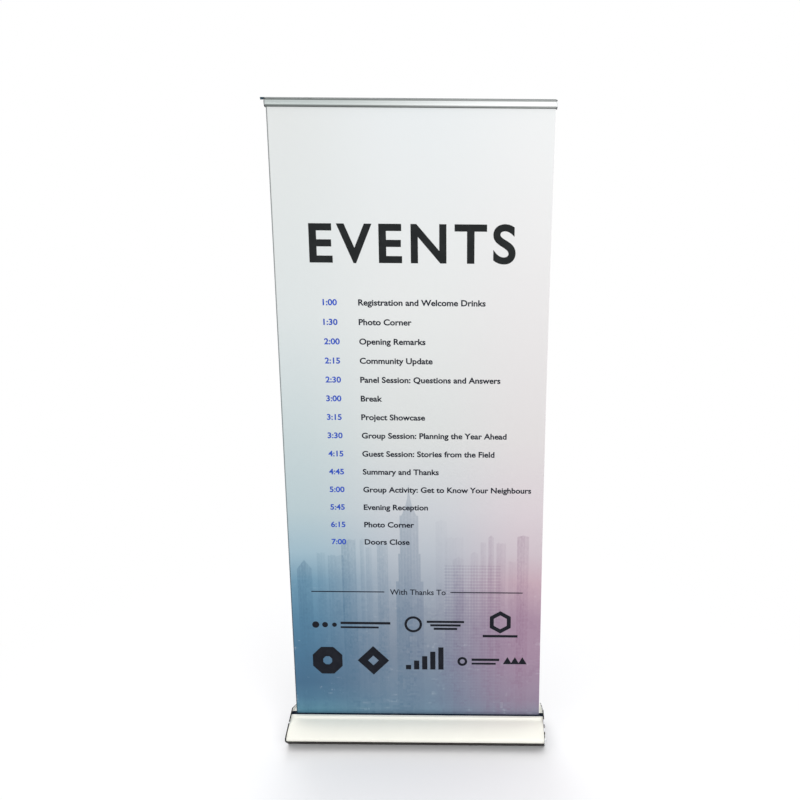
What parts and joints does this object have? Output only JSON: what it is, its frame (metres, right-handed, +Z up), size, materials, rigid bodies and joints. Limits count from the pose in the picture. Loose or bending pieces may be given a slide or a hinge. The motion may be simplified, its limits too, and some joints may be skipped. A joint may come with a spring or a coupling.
{
  "type": "roll-up banner stand",
  "caption": "Roll-up banner stand: printed film drawn from a sprung roller in a wide teardrop cassette, held by a clamp rail on a telescopic rear pole.",
  "frame": {"origin": "on the floor, under the middle of the cassette, in the plane of the film", "axes": "+Z up; X along the cassette; the print faces -Y and the pole stands at +Y"},
  "size_m": [0.8868, 0.2108, 2.1079],
  "materials": {
    "polished_plate": "polished",
    "satin_cover": "satin anodised",
    "rail_metal": "satin anodised",
    "roller_metal": "mill finish",
    "pole_tube": "satin anodised",
    "dark_pan": "moulded, satin",
    "slot_trim": "matt",
    "ballast": "matt",
    "screw": "bright",
    "brass_insert": "turned",
    "dark_plastic": "moulded, fine texture",
    "dark_cap": "moulded",
    "nylon": "matt",
    "steel_shaft": "turned",
    "spring_steel": "oiled",
    "red_plastic": "moulded",
    "teal_insert": "satin",
    "rubber_foot": "matt",
    "film": "printed film, semi-matt"
  },
  "bodies": {
    "base": {"end_plate_left": "polished_plate", "end_plate_right": "polished_plate", "front_cover": "satin_cover", "rear_cover": "satin_cover", "base_pan": "dark_pan", "slot_strip_front": "slot_trim", "slot_strip_rear": "slot_trim", "ballast_bar_left": "ballast", "ballast_bar_right": "ballast", "end_screws": "screw", "foot_inserts": "brass_insert", "spring_arbor": "steel_shaft", "arbor_bracket": "steel_shaft", "spring_anchor": "steel_shaft", "torsion_spring": "spring_steel", "stub_axle": "steel_shaft", "pole_socket": "dark_plastic", "socket_screws": "screw", "pole_lower": "pole_tube"},
    "roller": {"roller_tube": "roller_metal", "roller_plug_left": "dark_plastic", "roller_plug_right": "dark_plastic", "bush_left": "nylon", "bush_right": "nylon", "wound_film": "film"},
    "rail": {"rail_back": "rail_metal", "rail_insert": "teal_insert", "rail_cap_left": "dark_cap", "rail_cap_right": "dark_cap", "rail_cap_screws": "screw", "banner": "film"},
    "rail_jaw": {"rail_jaw": "rail_metal"},
    "pole_middle": {"pole_middle": "pole_tube", "guide_bush_middle": "nylon"},
    "pole_upper": {"pole_upper": "pole_tube", "guide_bush_upper": "nylon", "pole_hook": "dark_plastic"},
    "collar_lower": {"collar_lower": "dark_plastic"},
    "collar_middle": {"collar_middle": "dark_plastic"},
    "lock_pin": {"lock_pin": "red_plastic"},
    "foot_front_left": {"foot_front_left": "rubber_foot"},
    "foot_front_right": {"foot_front_right": "rubber_foot"},
    "foot_rear_left": {"foot_rear_left": "rubber_foot"},
    "foot_rear_right": {"foot_rear_right": "rubber_foot"}
  },
  "joints": [
    {"name": "rail_height", "type": "slide", "parent": "base", "child": "rail", "axis": [0, 0, 1], "range_m": [-1.2, 0], "deforming": ["banner"]},
    {"name": "pole_middle_slide", "type": "slide", "parent": "base", "child": "pole_middle", "axis": [0, 0, 1], "range_m": [-0.6, 0]},
    {"name": "pole_upper_slide", "type": "slide", "parent": "pole_middle", "child": "pole_upper", "axis": [0, 0, 1], "range_m": [-0.6, 0]},
    {"name": "roller_spin", "type": "hinge", "parent": "base", "child": "roller", "pos_m": [0, -0.0215, 0.044], "axis": [1, 0, 0], "range_deg": [-3200, 0]},
    {"name": "rail_jaw_open", "type": "hinge", "parent": "rail", "child": "rail_jaw", "pos_m": [0, -0.001, 2.1033], "axis": [-1, 0, 0], "range_deg": [0, 40]},
    {"name": "collar_lower_twist", "type": "hinge", "parent": "base", "child": "collar_lower", "pos_m": [0, 0.03, 0.73], "axis": [0, 0, 1], "range_deg": [0, 90]},
    {"name": "collar_middle_twist", "type": "hinge", "parent": "pole_middle", "child": "collar_middle", "pos_m": [0, 0.03, 1.4], "axis": [0, 0, 1], "range_deg": [0, 90]},
    {"name": "lock_pin_pull", "type": "slide", "parent": "base", "child": "lock_pin", "axis": [1, 0, 0], "range_m": [0, 0.03]},
    {"name": "foot_front_left_turn", "type": "hinge", "parent": "base", "child": "foot_front_left", "pos_m": [-0.38, -0.046, 0], "axis": [0, 0, 1], "range_deg": [-720, 720]},
    {"name": "foot_front_right_turn", "type": "hinge", "parent": "base", "child": "foot_front_right", "pos_m": [0.38, -0.046, 0], "axis": [0, 0, 1], "range_deg": [-720, 720]},
    {"name": "foot_rear_left_turn", "type": "hinge", "parent": "base", "child": "foot_rear_left", "pos_m": [-0.38, 0.046, 0], "axis": [0, 0, 1], "range_deg": [-720, 720]},
    {"name": "foot_rear_right_turn", "type": "hinge", "parent": "base", "child": "foot_rear_right", "pos_m": [0.38, 0.046, 0], "axis": [0, 0, 1], "range_deg": [-720, 720]}
  ],
  "couplings": [
    {"joint": "pole_middle_slide", "follows": "rail_height", "ratio": 0.5},
    {"joint": "pole_upper_slide", "follows": "rail_height", "ratio": 0.5},
    {"joint": "roller_spin", "follows": "rail_height", "rad_per_m": 46.5}
  ]
}
